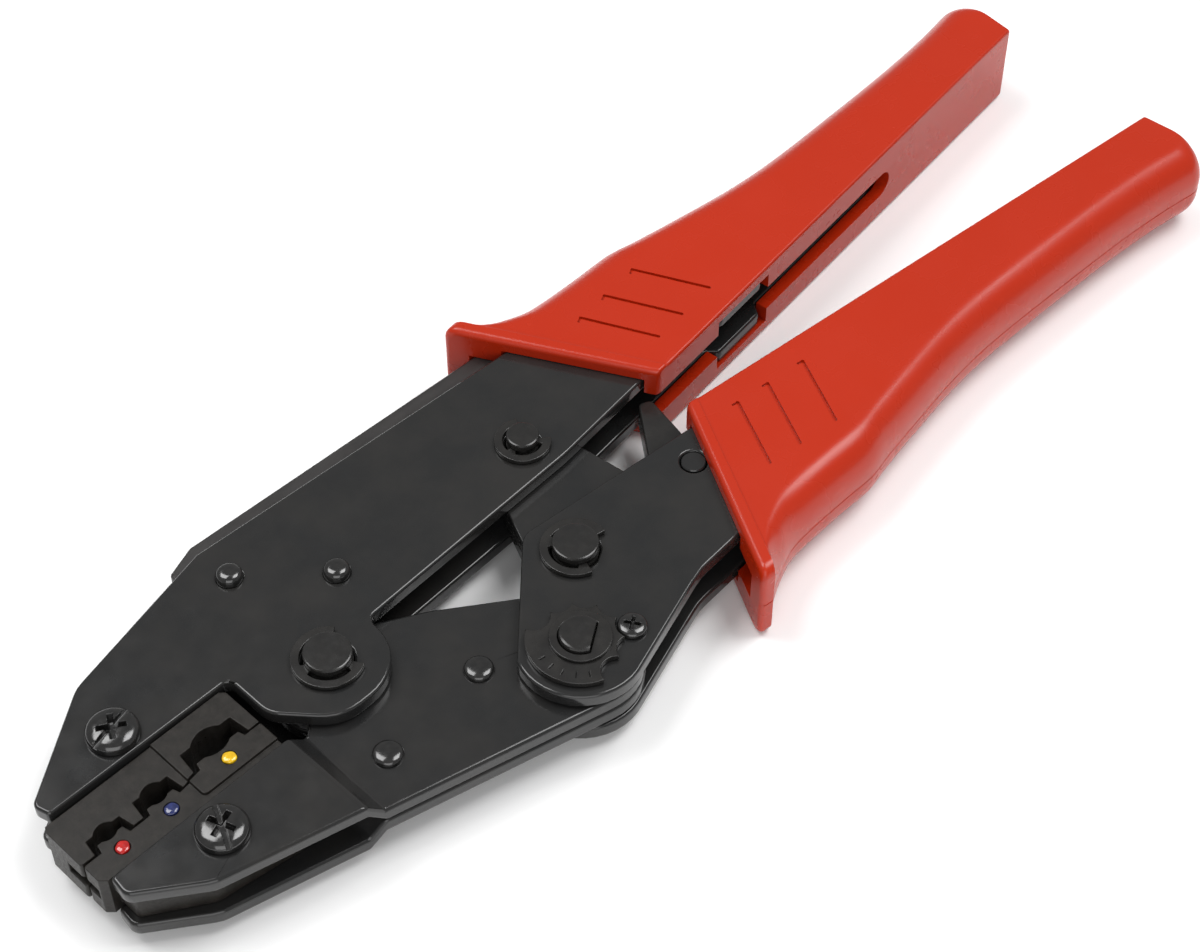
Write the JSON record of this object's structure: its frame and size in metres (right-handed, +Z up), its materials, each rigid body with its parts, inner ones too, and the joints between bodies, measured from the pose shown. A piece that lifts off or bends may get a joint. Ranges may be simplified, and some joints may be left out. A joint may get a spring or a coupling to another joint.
{
  "type": "ratchet crimping tool",
  "caption": "Plier-like hand tool with black steel plates, a toggle ratchet and long red grips, and side-by-side nested dies that crimp insulated cable terminals.",
  "frame": {"origin": "on the main pivot's axis, on the rear face of its head, in the plane the tool lies on", "axes": "+X towards the ends of the handles, +Y from the moving handle to the fixed handle, +Z up from the surface the tool lies on, towards the clips"},
  "size_m": [0.2251, 0.0713, 0.016],
  "materials": {
    "plate": "black oxide steel plate, worn bright along the edges",
    "strip": "brownish black steel strip",
    "die": "dark brown-black fine cast steel",
    "pin": "dark turned steel",
    "fastener": "glossy black steel",
    "clip": "dark stamped steel",
    "grip": "satin red-orange plastic",
    "red_dot": "red paint",
    "blue_dot": "blue paint",
    "yellow_dot": "yellow paint"
  },
  "bodies": {
    "frame": {"frame_plate_front": "plate", "frame_plate_rear": "plate", "frame_back_strip": "strip", "frame_rivet_nose": "fastener", "frame_rivet_middle": "fastener", "main_pivot_pin": "pin", "main_pivot_clip": "clip", "link_pin": "pin", "link_pin_clip": "clip", "upper_die": "die", "upper_die_screw": "fastener", "fixed_grip": "grip"},
    "jaw": {"jaw_plate_front": "plate", "jaw_plate_rear": "plate", "jaw_rivet_nose": "fastener", "jaw_rivet_heel": "fastener", "lower_die": "die", "lower_die_screw": "fastener", "die_mark_red": "red_dot", "die_mark_blue": "blue_dot", "die_mark_yellow": "yellow_dot"},
    "handle": {"handle_plate_front": "plate", "handle_plate_rear": "plate", "moving_grip": "grip", "eccentric_pin": "pin", "adjuster_wheel": "clip", "adjuster_washer": "clip", "wheel_lock_screw": "fastener", "handle_pin": "pin", "handle_pin_clip": "clip", "pawl_rivet": "pin"},
    "link": {"link_plate_front": "plate", "link_plate_rear": "plate"},
    "pawl": {"ratchet_pawl": "clip"}
  },
  "joints": [
    {"name": "jaw_hinge", "type": "hinge", "parent": "frame", "child": "jaw", "pos_m": [0, 0, 0.008], "axis": [0, 0, 1], "range_deg": [-0.3, 10]},
    {"name": "handle_hinge", "type": "hinge", "parent": "jaw", "child": "handle", "pos_m": [0.0282, -0.024, 0.008], "axis": [0, 0, 1], "range_deg": [-40.44, 1.26]},
    {"name": "link_hinge", "type": "hinge", "parent": "frame", "child": "link", "pos_m": [0.0492, 0.0096, 0.008], "axis": [0, 0, 1], "range_deg": [-0.76, 23.57]},
    {"name": "pawl_hinge", "type": "hinge", "parent": "handle", "child": "pawl", "pos_m": [0.0652, -0.012, 0.008], "axis": [0, 0, 1], "range_deg": [-8, 8], "stiffness_Nm_per_rad": 0.06}
  ],
  "couplings": [
    {"joint": "handle_hinge", "follows": "jaw_hinge", "ratio": -4.039},
    {"joint": "link_hinge", "follows": "jaw_hinge", "ratio": 2.352}
  ]
}
